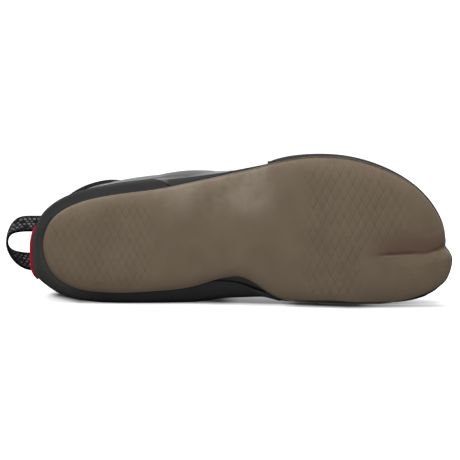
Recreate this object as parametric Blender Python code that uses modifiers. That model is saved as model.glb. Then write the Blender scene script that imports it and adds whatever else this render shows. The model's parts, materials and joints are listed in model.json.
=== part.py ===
"""Split-toe surf boot for the right foot, lying on its inner side.

Sizes are millimetres in the boot's own axes: along runs from the heel's back to the toe,
across is positive towards the outer side of the foot, rise goes up from the ground that the
sole would stand on. The finished boot is turned on its side by its parent empty.
"""

import math
from collections import namedtuple

import bmesh
import bpy
import numpy as np

MM = 0.001

# Driving dimensions.
FLOOR_SIDE = 38.6  # from the heel's axis to the floor that the boot lies on
GAP = 0.3  # between pieces that are glued or laid together
LOW_GAP = 0.45  # more of it at a band's lower edge, where the upper turns in under the foot
WALL = 3.0  # neoprene of the upper
HEM = 0.8  # the folded hem stands this much proud at the collar
HEM_HEIGHT = 14.0
SOLE_THICKNESS = 4.0
SOLE_HALF_WIDTH = 48.5  # at the ball
HEEL_SHARE = 0.25  # of a ring's length, over which its centre moves from the heel's line
RAND_THICKNESS = 1.5
SIDE_RAND_THICKNESS = 0.8
PATCH_THICKNESS = 2.0
INSOLE_THICKNESS = 2.2
WEBBING_THICKNESS = 1.8
WEBBING_WIDTH = 16.0

# Ground line of the sole.
ARCH_START, ARCH_END, ARCH_LIFT = 76.0, 158.0, 3.0
TOE_START, TOE_END, TOE_SPRING = 206.0, 277.0, 9.0

# Split between the big toe and the other toes.
SPLIT_START, SPLIT_FULL = 222.0, 254.0
SPLIT_OUTER, SPLIT_INNER = 7.0, 2.8  # gentle towards the outer toes, steep at the big toe
SPLIT_DEPTH_SOLE, SPLIT_DEPTH_TOP, SPLIT_DEPTH_UPPER = 3.0, 0.8, 1.6
SPLIT_FADE_LOW, SPLIT_FADE_HIGH = 26.0, 52.0
SPLIT_LINE = ((0.0, 0.0), (228.0, -6.2), (240.0, -5.4), (260.0, -3.2), (268.0, -0.9), (273.0, 0.9))
NOTCH_DEPTH, NOTCH_WIDTH = 1.4, 2.4  # where the split reaches the toe's outline

# Mesh density: stations from heel to toe on each side, closer together at both ends.
STATIONS = 38
INSOLE_STATIONS = 24
TOE_CROWDING = 1.2
HEEL_CROWDING = 1.0

EdgeRow = namedtuple("EdgeRow", "along outer inner")

# Edge of the outsole, as distances to either side of the heel's axis.
SOLE_EDGE = [
    EdgeRow(4.2, 0.3, -0.3),
    EdgeRow(5.2, 7.2, 6.8),
    EdgeRow(7.0, 12.8, 12.4),
    EdgeRow(9.3, 17.0, 16.8),
    EdgeRow(12.9, 21.0, 21.2),
    EdgeRow(16.6, 23.6, 24.2),
    EdgeRow(29.0, 29.4, 29.1),
    EdgeRow(42.2, 32.6, 30.8),
    EdgeRow(55.5, 34.8, 31.2),
    EdgeRow(82.0, 38.2, 29.8),
    EdgeRow(102.0, 42.3, 27.8),
    EdgeRow(115.2, 45.0, 23.9),
    EdgeRow(128.5, 48.0, 20.2),
    EdgeRow(136.0, 50.3, 20.9),
    EdgeRow(143.0, 52.4, 24.0),
    EdgeRow(151.7, 54.6, 30.2),
    EdgeRow(156.5, 55.6, 33.6),
    EdgeRow(165.0, 57.0, 36.4),
    EdgeRow(176.0, 59.1, 37.8),
    EdgeRow(189.0, 59.9, 38.5),
    EdgeRow(203.0, 59.2, 38.9),
    EdgeRow(215.0, 56.9, 39.0),
    EdgeRow(228.0, 52.5, 38.7),
    EdgeRow(241.5, 46.4, 37.3),
    EdgeRow(255.0, 36.5, 33.8),
    EdgeRow(262.0, 28.4, 31.0),
    EdgeRow(268.8, 17.1, 26.6),
    EdgeRow(271.6, 10.2, 24.4),
    EdgeRow(273.0, 3.0, 22.6),
    EdgeRow(274.2, -1.7, 20.6),
    EdgeRow(275.7, -4.4, 17.0),
    EdgeRow(277.0, -9.2, 9.2),
]

# Widest line of the boot above the sole, over the rubber rand.
BODY_EDGE = [
    EdgeRow(-3.6, -1.0, 1.0),
    EdgeRow(-1.9, 12.6, 17.2),
    EdgeRow(2.4, 19.8, 23.0),
    EdgeRow(7.8, 25.3, 28.2),
    EdgeRow(14.6, 30.0, 32.4),
    EdgeRow(21.3, 33.6, 35.3),
    EdgeRow(29.4, 36.7, 37.3),
    EdgeRow(42.0, 39.4, 38.7),
    EdgeRow(64.0, 42.4, 39.1),
    EdgeRow(80.0, 44.0, 39.1),
    EdgeRow(94.0, 45.0, 39.0),
    EdgeRow(108.0, 46.8, 38.6),
    EdgeRow(117.0, 48.0, 37.2),
    EdgeRow(126.0, 49.3, 35.3),
    EdgeRow(134.0, 50.4, 34.2),
    EdgeRow(142.0, 51.7, 33.9),
    EdgeRow(150.0, 54.0, 34.2),
    EdgeRow(157.0, 56.5, 35.0),
    EdgeRow(165.0, 58.8, 36.0),
    EdgeRow(176.0, 60.5, 36.4),
    EdgeRow(191.0, 61.1, 36.7),
    EdgeRow(208.0, 59.6, 36.8),
    EdgeRow(222.0, 56.1, 36.6),
    EdgeRow(235.0, 51.0, 36.6),
    EdgeRow(247.0, 44.2, 36.4),
    EdgeRow(257.0, 36.2, 34.2),
    EdgeRow(265.0, 26.4, 30.8),
    EdgeRow(270.4, 16.4, 27.2),
    EdgeRow(272.9, 8.6, 24.8),
    EdgeRow(274.4, 1.4, 22.6),
    EdgeRow(276.2, -4.6, 17.6),
    EdgeRow(277.6, -9.2, 9.2),
]

RingRow = namedtuple(
    "RingRow",
    "name back_along back_rise front_along front_rise body_share width_share"
    " oval_share oval_half oval_centre heel_centre lift_share steps",
)

# Sections of the upper's outer face, from the margin glued under the foot to the collar.
# A ring reaches from a point on the heel's back line to one on the toe, vamp or shin line.
# Its outline goes from the sole's edge to the body's, and then to the oval of the ankle.
RINGS = [
    RingRow("margin", 14.2, 4.4, 267.0, 4.4, 0.0, 0.794, 0.00, 44.0, 5.6, 0.0, 1.00, 1),
    RingRow("feather", 5.0, 4.6, 275.4, 4.6, 0.0, 0.985, 0.00, 44.0, 5.6, 0.0, 1.00, 2),
    RingRow("welt", -0.6, 8.5, 276.2, 9.0, 0.8, 1.00, 0.00, 44.0, 5.6, -4.0, 1.00, 2),
    RingRow("rand", -1.8, 16.0, 275.2, 17.0, 1.0, 1.00, 0.00, 44.0, 5.6, -5.0, 1.00, 2),
    RingRow("wall", -4.4, 27.0, 271.4, 27.0, 1.0, 1.00, 0.20, 44.0, 5.8, -9.0, 0.90, 2),
    RingRow("toe_top", -6.6, 37.0, 258.5, 36.0, 1.0, 0.97, 0.48, 43.8, 5.4, -7.0, 0.70, 2),
    RingRow("toe_back", -6.0, 45.0, 236.0, 43.5, 1.0, 0.93, 0.80, 43.7, 5.2, -4.5, 0.40, 2),
    RingRow("vamp", -4.2, 53.0, 206.0, 51.5, 1.0, 0.90, 0.95, 42.2, 4.6, -3.0, 0.15, 1),
    RingRow("waist", -2.0, 62.0, 177.0, 61.5, 1.0, 0.90, 1.00, 40.2, 3.6, -2.0, 0.0, 2),
    RingRow("instep", 1.0, 74.0, 150.0, 75.5, 1.0, 0.90, 1.00, 38.2, 2.0, -1.0, 0.0, 2),
    RingRow("throat", 4.0, 90.0, 127.0, 93.0, 1.0, 0.90, 1.00, 36.6, 0.8, -0.4, 0.0, 2),
    RingRow("ankle", 4.0, 110.0, 111.0, 114.0, 1.0, 0.90, 1.00, 36.2, 0.2, -0.2, 0.0, 1),
    RingRow("shaft", 0.5, 130.0, 102.0, 133.0, 1.0, 0.90, 1.00, 37.3, 0.4, 0.2, 0.0, 1),
    RingRow("collar", -4.6, 150.0, 96.0, 152.0, 1.0, 0.90, 1.00, 38.9, 0.7, 0.4, 0.0, 1),
]
RING_NAMES = [row.name for row in RINGS]

Finish = namedtuple("Finish", "colour roughness")
FINISHES = {
    "gum_rubber": Finish((0.145, 0.115, 0.082), 0.62),
    "black_rubber": Finish((0.040, 0.042, 0.042), 0.55),
    "neoprene": Finish((0.022, 0.023, 0.025), 0.70),
    "footbed": Finish((0.030, 0.031, 0.033), 0.85),
    "red_rubber": Finish((0.420, 0.006, 0.022), 0.45),
    "webbing": Finish((0.018, 0.018, 0.019), 0.75),
}


def smooth(knots, values, at, monotone=False):
    """Cubic curve through the values at the knots, read at other places."""
    knots = np.asarray(knots, float)
    values = np.asarray(values, float)
    slopes = np.gradient(values, knots)
    if monotone:
        secants = np.diff(values) / np.diff(knots)
        before, after = secants[:-1], secants[1:]
        total = np.where(before * after > 0, before + after, 1.0)
        slopes[1:-1] = np.where(before * after > 0, 2 * before * after / total, 0.0)
        slopes[0], slopes[-1] = secants[0], secants[-1]
    at = np.clip(np.asarray(at, float), knots[0], knots[-1])
    low = np.clip(np.searchsorted(knots, at, side="right") - 1, 0, len(knots) - 2)
    span = knots[low + 1] - knots[low]
    s = (at - knots[low]) / span
    return (
        values[low] * (1 + 2 * s) * (1 - s) ** 2
        + values[low + 1] * s * s * (3 - 2 * s)
        + slopes[low] * span * s * (1 - s) ** 2
        + slopes[low + 1] * span * s * s * (s - 1)
    )


def ease(value, start, end):
    """0 before start, 1 after end, and a soft step between them."""
    s = np.clip((value - start) / (end - start), 0, 1)
    return s * s * (3 - 2 * s)


def mix(a, b, share):
    return a + (b - a) * share


def reach_share(sweep):
    """How far along a ring its sweep has come: the ends are round, so they are slow."""
    return (1 - np.cos(np.pi * sweep)) / 2


def sweep_at(along, back, front):
    """Sweep at which a ring between back and front has come to along."""
    return np.arccos(1 - 2 * (along - back) / (front - back)) / np.pi


def edge(rows, sweep):
    """Outer and inner distance of an edge from the heel's axis."""
    along = np.array([row.along for row in rows])
    knots = sweep_at(along, along[0], along[-1])
    outer = smooth(knots, [row.outer for row in rows], sweep)
    inner = smooth(knots, [row.inner for row in rows], sweep)
    return outer, inner


def sole_lift(along):
    """Height of the sole's ground line: flat at heel and ball, raised at arch and toe."""
    arch = np.clip((along - ARCH_START) / (ARCH_END - ARCH_START), 0, 1)
    toe = np.clip((along - TOE_START) / (TOE_END - TOE_START), 0, None)
    return ARCH_LIFT * np.sin(np.pi * arch) ** 2 + TOE_SPRING * toe**2


def split_line(along):
    places, offsets = zip(*SPLIT_LINE)
    return np.interp(along, places, offsets)


def split_depth(along, across, depth, outer_width=SPLIT_OUTER, inner_width=SPLIT_INNER):
    """Depth of the trough between the big toe and the others."""
    off_line = across - split_line(along)
    off_line = off_line / np.where(off_line > 0, outer_width, inner_width)
    return depth * np.exp(-(off_line**2)) * ease(along, SPLIT_START, SPLIT_FULL)


def ring_value(column, level):
    values = [getattr(row, column) for row in RINGS]
    return smooth(np.arange(len(RINGS)), values, level, monotone=True)


def last_surface(angle, level):
    """Point of the upper's outer face, before its hem and split. Angle 0 is the heel's back,
    pi the toe, with the outer side between them; level counts the rings of the table."""
    angle = np.mod(angle, 2 * np.pi)
    side = np.where(angle <= np.pi, 1.0, -1.0)
    sweep = np.where(angle <= np.pi, angle, 2 * np.pi - angle) / np.pi
    value = {name: ring_value(name, level) for name in RingRow._fields[1:-1]}
    share = reach_share(sweep)
    along = mix(value["back_along"], value["front_along"], share)

    sole_outer, sole_inner = edge(SOLE_EDGE, sweep)
    body_outer, body_inner = edge(BODY_EDGE, sweep)
    proud = (RAND_THICKNESS + GAP) * np.tanh(3 * np.sin(np.pi * sweep))
    outer = mix(sole_outer, body_outer - proud, value["body_share"])
    inner = mix(sole_inner, body_inner - proud, value["body_share"])
    foot = (outer - inner) / 2 + side * (outer + inner) / 2 * value["width_share"]
    centre = mix(value["heel_centre"], value["oval_centre"], ease(share, 0.0, HEEL_SHARE))
    oval = centre + side * value["oval_half"] * np.sin(np.pi * sweep)
    across = mix(foot, oval, value["oval_share"])

    rise = mix(value["back_rise"], value["front_rise"], share)
    rise = rise + sole_lift(along) * value["lift_share"]
    return np.stack([along, across, rise], axis=-1)


def skin(angle, level, offset=0.0):
    """Points at an offset from the upper's outer face, with the toe split pressed into it."""
    angle, level, offset = np.broadcast_arrays(angle, level, offset)
    step = 1e-3
    point = last_surface(angle, level)
    round_it = last_surface(angle + step, level) - last_surface(angle - step, level)
    top = len(RINGS) - 1
    high, low = np.clip(level + step, 0, top), np.clip(level - step, 0, top)
    up_it = last_surface(angle, high) - last_surface(angle, low)
    normal = np.cross(up_it, round_it)
    normal /= np.linalg.norm(normal, axis=-1, keepdims=True)
    pressed = split_depth(point[..., 0], point[..., 1], SPLIT_DEPTH_UPPER)
    pressed = pressed * (1 - ease(point[..., 2], SPLIT_FADE_LOW, SPLIT_FADE_HIGH))
    return point + normal * (offset - pressed)[..., None]


def level_at(angle, rise):
    """Ring level at which the upper's face comes to a height."""
    levels = np.linspace(RING_NAMES.index("feather"), len(RINGS) - 1, 400)
    found = []
    for one_angle, one_rise in zip(angle, rise):
        heights = last_surface(np.full_like(levels, one_angle), levels)[:, 2]
        found.append(np.interp(one_rise, heights, levels))
    return np.array(found)


def station_sweeps(count):
    """Sweeps of the mesh stations, evenly spaced on the sole's edge but for its ends."""
    fine = np.linspace(0, 1, 2001)
    outer, inner = edge(SOLE_EDGE, fine)
    along = mix(SOLE_EDGE[0].along, SOLE_EDGE[-1].along, reach_share(fine))
    across = (np.abs(np.diff(outer)) + np.abs(np.diff(inner))) / 2
    steps = np.hypot(np.diff(along), across)
    steps *= 1 + TOE_CROWDING * ease(along[1:], TOE_END - 25, TOE_END - 7)
    steps *= 1 + HEEL_CROWDING * (1 - ease(along[1:], 3.0, 14.0))
    run = np.concatenate([[0.0], np.cumsum(steps)])
    return np.interp(np.linspace(0, run[-1], count + 1), run, fine)


def ring_angles():
    """Angles of the mesh right round the boot, from the heel over the outer side."""
    outer = np.pi * station_sweeps(STATIONS)
    return np.concatenate([outer, 2 * np.pi - outer[-2:0:-1]])


def angles_between(start, end):
    """Mesh angles from start to end, with both ends. Start may be negative: inner heel."""
    every = ring_angles()
    every = np.concatenate([every - 2 * np.pi, every])
    margin = 0.02
    inside = every[(every > start + margin) & (every < end - margin)]
    return np.concatenate([[start], inside, [end]])


def angle_of(along, side):
    """Angle at which the rand's ring passes a place along the boot, on one side."""
    rand = RINGS[RING_NAMES.index("rand")]
    angle = np.pi * sweep_at(along, rand.back_along, rand.front_along)
    return angle if side == "outer" else 2 * np.pi - angle


def to_blender(points):
    """Boot axes to Blender's: the outer side of a right boot is on the right, at -Y."""
    return np.asarray(points) * np.array([MM, -MM, MM])


def finish_named(name):
    material = bpy.data.materials.get(name)
    if material is None:
        finish = FINISHES[name]
        material = bpy.data.materials.new(name)
        material.use_nodes = True
        shader = material.node_tree.nodes["Principled BSDF"]
        shader.inputs["Base Color"].default_value = (*finish.colour, 1.0)
        shader.inputs["Roughness"].default_value = finish.roughness
        shader.inputs["Metallic"].default_value = 0.0
    return material


def object_from(name, mesh_maker, collection, parent, finish=None):
    """New object whose mesh is filled by mesh_maker(bm), in boot axes turned to Blender's."""
    bm = bmesh.new()
    mesh_maker(bm)
    mesh = bpy.data.meshes.new(name)
    bm.to_mesh(mesh)
    bm.free()
    mesh.shade_smooth()
    mesh.set_sharp_from_angle(angle=math.radians(35))
    made = bpy.data.objects.new(name, mesh)
    made.parent = parent
    collection.objects.link(made)
    if finish:
        mesh.materials.append(finish_named(finish))
    return made


def add_loft(bm, grid, closed=False):
    """Quads between rows of points; with closed, each row is a loop. Returns the rows."""
    rows = [[bm.verts.new(p) for p in row] for row in to_blender(grid)]
    for below, above in zip(rows, rows[1:]):
        count = len(below) if closed else len(below) - 1
        for i in range(count):
            j = (i + 1) % len(below)
            bm.faces.new((below[i], below[j], above[j], above[i]))
    return rows


def add_cap(bm, ring, inside):
    """Closes a ring of a plate with strips between its outer and inner sides. inside holds the
    points of each strip, a row for each station between heel and toe."""
    half = len(ring) // 2
    outer, inner = ring[1:half], ring[:half:-1]
    strips = [
        [out, *[bm.verts.new(p) for p in to_blender(points)], into]
        for out, points, into in zip(outer, inside, inner)
    ]
    for one, two in zip(strips, strips[1:]):
        for i in range(len(one) - 1):
            bm.faces.new((one[i], one[i + 1], two[i + 1], two[i]))
    for tip, strip in ((ring[0], strips[0]), (ring[half], strips[-1])):
        for a, b in zip(strip, strip[1:]):
            bm.faces.new((tip, a, b))


def solidify(made, thickness, offset):
    wall = made.modifiers.new("wall", "SOLIDIFY")
    wall.thickness = thickness * MM
    wall.offset = offset
    wall.use_even_offset = True
    wall.use_quality_normals = True


def cut(made, cutter):
    boolean = made.modifiers.new("cut_" + cutter.name, "BOOLEAN")
    boolean.operation = "DIFFERENCE"
    boolean.object = cutter
    boolean.solver = "EXACT"


def as_cutter(made):
    made.hide_render = True
    made.display_type = "WIRE"
    return made


def sole_ring(inset, stations):
    """Outline of the sole pulled in by an inset, as along and across round the boot."""
    sweep = station_sweeps(stations)
    outer, inner = edge(SOLE_EDGE, sweep)
    back, front = SOLE_EDGE[0].along + inset, SOLE_EDGE[-1].along - inset
    along = mix(back, front, reach_share(sweep))
    centre = (outer - inner) / 2
    half = (outer + inner) / 2 * (1 - inset / SOLE_HALF_WIDTH)
    along = np.concatenate([along, along[-2:0:-1]])
    across = np.concatenate([centre + half, (centre - half)[-2:0:-1]])
    notch = split_depth(along, across, NOTCH_DEPTH, NOTCH_WIDTH, NOTCH_WIDTH)
    notch = notch * ease(along, SPLIT_FULL, TOE_END - 6)
    return along - notch, across


def plate_ring(inset, rise, split, stations):
    along, across = sole_ring(inset, stations)
    height = rise + sole_lift(along) + split_depth(along, across, split)
    return np.stack([along, across, height], axis=-1)


def plate_inside(inset, rise, split, stations, outer_steps, inner_steps):
    """Points between the two sides of a plate's ring, crowded towards the toe split."""
    along, across = sole_ring(inset, stations)
    half = len(along) // 2
    toward = 1 - (1 - np.arange(1, outer_steps + 1) / outer_steps) ** 1.6
    away = (np.arange(1, inner_steps) / inner_steps) ** 1.6
    rows = []
    for i in range(1, half):
        out, into = across[i], across[-i]
        place = mix(along[i], along[-i], 0.5)
        low, high = mix(out, into, 0.7), mix(out, into, 0.3)
        middle = np.clip(split_line(place), low, high)
        points = np.concatenate([mix(out, middle, toward), mix(middle, into, away)])
        places = mix(along[i], along[-i], (out - points) / (out - into))
        height = rise + sole_lift(places) + split_depth(places, points, split)
        rows.append(np.stack([places, points, height], axis=-1))
    return rows


def add_plate(bm, rings, stations, outer_steps, inner_steps):
    """Closed plate from rings of (inset, rise, split depth), the first and last capped."""
    rows = add_loft(bm, [plate_ring(*ring, stations) for ring in rings], closed=True)
    for ring, row in ((rings[0], rows[0]), (rings[-1], rows[-1])):
        add_cap(bm, row, plate_inside(*ring, stations, outer_steps, inner_steps))
    bmesh.ops.recalc_face_normals(bm, faces=bm.faces)


def make_outsole(collection, boot):
    """Moulded rubber sole: flat at heel and ball, crowned towards its rounded edge."""
    split = SPLIT_DEPTH_SOLE
    rings = [
        (15.0, 0.0, split),
        (7.5, 0.45, split),
        (3.0, 1.05, split),
        (0.9, 1.75, split),
        (0.0, 2.9, mix(split, SPLIT_DEPTH_TOP, 0.5)),
        (0.5, SOLE_THICKNESS, SPLIT_DEPTH_TOP),
    ]
    return object_from(
        "outsole", lambda bm: add_plate(bm, rings, STATIONS, 5, 5), collection, boot, "gum_rubber"
    )


def make_insole(collection, boot):
    """Footbed: a core between the upper's glued margins and a brim that lies over them."""
    core_inset, brim_inset, lay_gap = 12.8, 7.6, 0.8
    low = SOLE_THICKNESS + lay_gap
    high = SOLE_THICKNESS + GAP + WALL + lay_gap
    split = SPLIT_DEPTH_UPPER
    rings = [
        (core_inset, low, split),
        (core_inset, high, split),
        (brim_inset, high, split),
        (brim_inset + 0.6, high + INSOLE_THICKNESS, split),
    ]
    return object_from(
        "insole", lambda bm: add_plate(bm, rings, INSOLE_STATIONS, 4, 3), collection, boot,
        "footbed",
    )


def upper_levels():
    """Levels and offsets of the upper's mesh rings, with the hem's step at the collar."""
    levels = []
    for i, row in enumerate(RINGS[:-1]):
        levels.extend(i + np.arange(row.steps) / row.steps)
    top = len(RINGS) - 1
    hem = top - HEM_HEIGHT / (RINGS[-1].back_rise - RINGS[-2].back_rise)
    step = 0.03
    levels = [level for level in levels if level < hem - 2 * step]
    offsets = [0.0] * len(levels)
    levels += [hem - step, hem + step, mix(hem, top, 0.5), top]
    offsets += [0.0, HEM, HEM, HEM]
    return np.array(levels), np.array(offsets)


def make_upper(collection, boot):
    """Neoprene sock, open at the collar and under the foot, where the sole closes it."""
    levels, offsets = upper_levels()
    grid = skin(ring_angles()[None, :], levels[:, None], offsets[:, None])
    upper = object_from(
        "upper", lambda bm: add_loft(bm, grid, closed=True), collection, boot, "neoprene"
    )
    solidify(upper, WALL, -1.0)
    return upper


def make_overlay(name, angles, low, high, thickness, finish, rows, collection, boot,
                 start_slant=0.0, end_slant=0.0):
    """Sheet glued on the upper between two heights, given for each angle. A slant moves the top
    of its first or last edge to a larger angle."""
    last = len(angles) - 1
    slant = np.zeros_like(angles)
    slant[[0, 1, last - 1, last]] = start_slant, start_slant / 2, end_slant / 2, end_slant
    top_angles = angles + slant
    low_level, high_level = level_at(angles, low), level_at(top_angles, high)
    shares = np.linspace(0, 1, rows + 1)[:, None]
    gap = GAP + LOW_GAP * (1 - shares) ** 3
    grid = skin(mix(angles, top_angles, shares), mix(low_level, high_level, shares), gap)
    overlay = object_from(name, lambda bm: add_loft(bm, grid), collection, boot, finish)
    solidify(overlay, thickness, 1.0)
    return overlay


def ground(angles):
    """Lift of the sole's ground line under the rand, for heights that follow it."""
    rand = RING_NAMES.index("rand")
    return sole_lift(last_surface(angles, np.full_like(angles, float(rand)))[:, 0])


def make_heel_rand(collection, boot):
    """Thick rubber band round the heel, from the seam at the outer waist to the inner ball."""
    angles = angles_between(angle_of(160.2, "inner") - 2 * np.pi, angle_of(84.0, "outer"))
    taper = 7.0 * ease(np.abs(angles), 0.2 * np.pi, 0.42 * np.pi)
    base = ground(angles)
    return make_overlay(
        "heel_rand", angles, base + 5.2, base + 27.0 - taper, RAND_THICKNESS, "black_rubber", 5,
        collection, boot, end_slant=-0.045,
    )


def make_side_rand(collection, boot):
    """Thinner band from the heel rand's seam to the toe rand, on the outer side."""
    angles = angles_between(angle_of(85.5, "outer"), angle_of(150.1, "outer"))
    forward = (angles - angles[0]) / (angles[-1] - angles[0])
    base = ground(angles)
    return make_overlay(
        "side_rand", angles, base + 5.3, base + mix(18.5, 16.0, forward), SIDE_RAND_THICKNESS,
        "black_rubber", 3, collection, boot, start_slant=-0.045, end_slant=0.04,
    )


def make_toe_rand(collection, boot):
    """Rubber band round the forefoot, from the outer waist past the toe to the inner ball."""
    angles = angles_between(angle_of(151.0, "outer"), angle_of(160.8, "inner"))
    base = ground(angles)
    round_it = (angles - angles[0]) / (angles[-1] - angles[0])
    low = base + mix(4.8, 7.6, ease(round_it, 0.45, 0.9))
    return make_overlay(
        "toe_rand", angles, low, base + 18.0, RAND_THICKNESS, "black_rubber", 3,
        collection, boot, start_slant=0.04,
    )


def make_heel_patch(collection, boot):
    """Plain red patch on the heel, above the rand."""
    angles = np.linspace(-0.094 * np.pi, 0.065 * np.pi, 11)
    low, high = np.full_like(angles, 28.2), np.full_like(angles, 43.0)
    return make_overlay(
        "heel_patch", angles, low, high, PATCH_THICKNESS, "red_rubber", 4, collection, boot
    )


def make_heel_form(collection, boot):
    """Solid form of the upper a gap larger, which trims what is sewn to the heel."""
    rand, top = RING_NAMES.index("rand"), len(RINGS) - 1
    levels = np.linspace(rand, top, 2 * (top - rand) + 1)
    grid = skin(ring_angles()[None, :], levels[:, None], GAP)

    def fill(bm):
        rows = add_loft(bm, grid, closed=True)
        bm.faces.new(rows[0])
        bm.faces.new(rows[-1])
        bmesh.ops.recalc_face_normals(bm, faces=bm.faces)

    return as_cutter(object_from("heel_form", fill, collection, boot))


def make_pull_loop(collection, boot, heel_form):
    """Webbing loop behind the heel. Its legs lean to the outer side, the end of its bow is upright."""
    leg, bow, half_span = 11.0, 17.7, 13.1
    bow_along, centre_across, centre_rise = -7.5, -1.3, 58.0
    leg_lean, rake = math.radians(40), math.radians(6)
    turn = np.radians(np.linspace(-90, 90, 21))
    straight = np.linspace(1, 0, 3)[:-1] * leg
    rounded = bow_along - bow * np.cos(turn)
    along = np.concatenate([bow_along + straight, rounded, bow_along + straight[::-1]])
    sides = np.full_like(straight, half_span)
    across = centre_across + np.concatenate([-sides, half_span * np.sin(turn), sides])
    full = np.ones_like(straight)
    lean = leg_lean * np.concatenate([full, np.sin(turn) ** 2, full])
    widths = np.linspace(-0.5, 0.5, 4)[:, None] * WEBBING_WIDTH
    grid = np.stack(
        [
            along - widths * math.sin(rake),
            across + widths * np.sin(lean),
            centre_rise + widths * np.cos(lean),
        ],
        axis=-1,
    )
    loop = object_from("pull_loop", lambda bm: add_loft(bm, grid), collection, boot, "webbing")
    solidify(loop, WEBBING_THICKNESS, 0.0)
    cut(loop, heel_form)
    return loop


def make_floor_block(collection):
    """Block below the floor: what lies on the floor is pressed flat against it."""
    bpy.ops.mesh.primitive_cube_add(size=1.0, location=(0, 0, -0.05))
    block = bpy.context.object
    block.name = "floor_block"
    block.scale = (0.6, 0.6, 0.1)
    for old in list(block.users_collection):
        old.objects.unlink(block)
    collection.objects.link(block)
    return as_cutter(block)


def lay_on_side(boot, pieces):
    """Turns the boot on its inner side and centres it over the origin, on the floor."""
    boot.rotation_euler = (-math.pi / 2, 0, 0)
    boot.location = (0, 0, FLOOR_SIDE * MM)
    bpy.context.view_layer.update()
    graph = bpy.context.evaluated_depsgraph_get()
    corners = []
    for piece in pieces:
        seen = piece.evaluated_get(graph)
        corners.extend(seen.matrix_world @ vertex.co for vertex in seen.data.vertices)
    corners = np.array(corners)
    middle = (corners.min(axis=0) + corners.max(axis=0)) / 2
    boot.location = (-middle[0], -middle[1], FLOOR_SIDE * MM)
    bpy.context.view_layer.update()


def clear_scene():
    for old in list(bpy.data.objects):
        bpy.data.objects.remove(old)


def new_collection(name):
    collection = bpy.data.collections.new(name)
    bpy.context.scene.collection.children.link(collection)
    return collection


def main():
    clear_scene()
    parts, cutters = new_collection("surf_boot"), new_collection("cutters")
    boot = bpy.data.objects.new("boot", None)
    parts.objects.link(boot)

    outsole = make_outsole(parts, boot)
    insole = make_insole(parts, boot)
    upper = make_upper(parts, boot)
    heel_rand = make_heel_rand(parts, boot)
    side_rand = make_side_rand(parts, boot)
    toe_rand = make_toe_rand(parts, boot)
    heel_patch = make_heel_patch(parts, boot)
    pull_loop = make_pull_loop(parts, boot, make_heel_form(cutters, boot))

    pieces = [outsole, insole, upper, heel_rand, side_rand, toe_rand, heel_patch, pull_loop]
    lay_on_side(boot, pieces)
    floor_block = make_floor_block(cutters)
    for piece in (outsole, heel_rand, upper):
        cut(piece, floor_block)


main()
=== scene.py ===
import json
import math

import bmesh
import bpy
import numpy as np
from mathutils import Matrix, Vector

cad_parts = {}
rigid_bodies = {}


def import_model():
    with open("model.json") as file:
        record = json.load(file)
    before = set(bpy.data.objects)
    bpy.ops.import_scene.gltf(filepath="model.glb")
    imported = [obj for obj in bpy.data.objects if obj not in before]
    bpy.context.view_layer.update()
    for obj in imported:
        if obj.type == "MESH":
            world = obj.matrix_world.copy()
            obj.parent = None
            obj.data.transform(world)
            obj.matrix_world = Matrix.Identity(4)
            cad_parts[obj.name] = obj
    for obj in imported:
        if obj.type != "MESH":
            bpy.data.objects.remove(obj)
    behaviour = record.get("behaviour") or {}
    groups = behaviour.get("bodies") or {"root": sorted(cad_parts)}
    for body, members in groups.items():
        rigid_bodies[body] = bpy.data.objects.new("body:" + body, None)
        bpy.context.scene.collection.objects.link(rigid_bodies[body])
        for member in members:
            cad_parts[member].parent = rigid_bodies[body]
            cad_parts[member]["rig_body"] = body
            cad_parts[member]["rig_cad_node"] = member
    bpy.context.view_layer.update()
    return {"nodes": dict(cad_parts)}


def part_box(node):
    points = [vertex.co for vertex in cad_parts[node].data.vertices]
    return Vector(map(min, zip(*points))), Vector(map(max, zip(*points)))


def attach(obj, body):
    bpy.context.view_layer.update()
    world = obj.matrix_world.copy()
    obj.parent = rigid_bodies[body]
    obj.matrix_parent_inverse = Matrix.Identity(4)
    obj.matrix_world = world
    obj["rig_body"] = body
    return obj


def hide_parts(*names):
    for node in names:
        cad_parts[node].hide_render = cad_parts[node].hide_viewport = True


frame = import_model()
nodes = frame["nodes"]
print("frame loaded:", ", ".join(sorted(nodes)))

mm = 0.001

# The boot's own axes, in millimetres: along from the heel to the toe, across to the outer side,
# rise up from the ground of the sole. It lies on its inner side, so across is up in the frame.
soleLow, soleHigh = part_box("outsole")
bandBehindSole, middleAboveFloor = 4.2, 38.6
bootZero = {
    "along": soleLow.x - bandBehindSole * mm, "rise": soleLow.y, "across": middleAboveFloor * mm,
}


def inFrame(along, across, rise):
    along, across, rise = np.broadcast_arrays(along, across, rise)
    parts = (("along", along), ("rise", rise), ("across", across))
    return np.stack([bootZero[name] + values * mm for name, values in parts], axis=-1)


def inBoot(points):
    points = np.asarray(points)
    return (
        (points[..., 0] - bootZero["along"]) / mm,
        (points[..., 2] - bootZero["across"]) / mm,
        (points[..., 1] - bootZero["rise"]) / mm,
    )


def ease(value, start, end):
    share = np.clip((np.asarray(value, float) - start) / (end - start), 0, 1)
    return share * share * (3 - 2 * share)


def pick(piece):
    bpy.ops.object.select_all(action="DESELECT")
    piece.select_set(True)
    bpy.context.view_layer.objects.active = piece


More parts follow.
